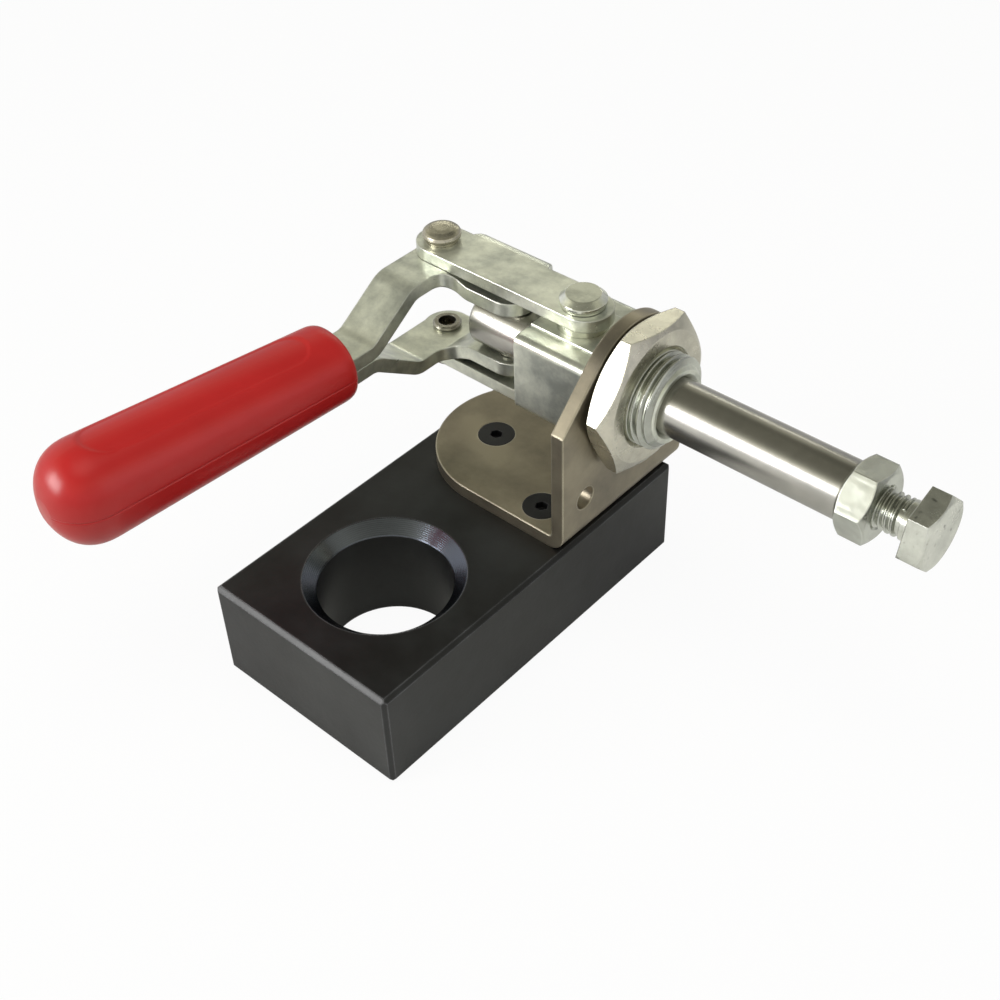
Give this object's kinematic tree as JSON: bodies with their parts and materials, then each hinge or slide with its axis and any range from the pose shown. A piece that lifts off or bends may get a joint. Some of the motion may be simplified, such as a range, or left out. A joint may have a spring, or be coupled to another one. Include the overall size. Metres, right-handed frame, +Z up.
{
  "type": "welding table fixture clamp",
  "caption": "Push-pull toggle clamp on a bent bracket, screwed to a bored steel block that pins to a welding table, with an adjustable spindle and a red grip.",
  "frame": {"origin": "on the axis of the block's bore, level with the underside of the block", "axes": "+Z up along the bore, +X the way the plunger pushes, +Y along the block from the bore to the clamp"},
  "size_m": [0.1367, 0.1159, 0.0708],
  "materials": {
    "block_black": "black oxide, satin, bare steel showing on the worn edges",
    "bracket_plating": "brownish-grey plating, satin",
    "screw_black": "black oxide",
    "body_plating": "pale yellowish zinc plating, satin",
    "nut_plating": "bright zinc plating",
    "plunger_steel": "ground and polished",
    "rivet_steel": "bare steel, turned",
    "spindle_plating": "bright zinc plating",
    "pivot_plating": "pale yellowish zinc plating",
    "link_plating": "pale yellowish zinc plating, satin",
    "grip_red": "gloss, moulded"
  },
  "bodies": {
    "base": {"mounting_block": "block_black", "angle_bracket": "bracket_plating", "base_screw_rear": "screw_black", "base_screw_near": "screw_black", "base_screw_far": "screw_black", "clamp_body": "body_plating", "nose_nut": "nut_plating", "upper_pivot": "pivot_plating", "lower_pivot": "pivot_plating", "upper_spacer": "pivot_plating", "lower_spacer": "pivot_plating"},
    "links": {"upper_link": "link_plating", "lower_link": "link_plating", "upper_elbow_rivet": "rivet_steel", "lower_elbow_rivet": "rivet_steel"},
    "handle": {"upper_arm": "link_plating", "lower_arm": "link_plating", "tang_rivet_front": "rivet_steel", "tang_rivet_rear": "rivet_steel", "handle_grip": "grip_red"},
    "plunger_rod": {"plunger": "plunger_steel", "cross_pin": "rivet_steel", "spindle_nut": "spindle_plating", "spindle_bolt": "spindle_plating"}
  },
  "joints": [
    {"name": "link_swing", "type": "hinge", "parent": "base", "child": "links", "pos_m": [0.0111, 0.0493, 0.05415], "axis": [0, 0, -1], "range_deg": [0, 14.64]},
    {"name": "handle_swing", "type": "hinge", "parent": "links", "child": "handle", "pos_m": [-0.0269, 0.0493, 0.05415], "axis": [0, 0, -1], "range_deg": [0, 135]},
    {"name": "plunger_slide", "type": "slide", "parent": "base", "child": "plunger_rod", "axis": [-1, 0, 0], "range_m": [0, 0.03417]}
  ],
  "couplings": [
    {"joint": "link_swing", "follows": "handle_swing", "ratio": 0.10844},
    {"joint": "plunger_slide", "follows": "handle_swing", "m_per_rad": 0.014498}
  ]
}
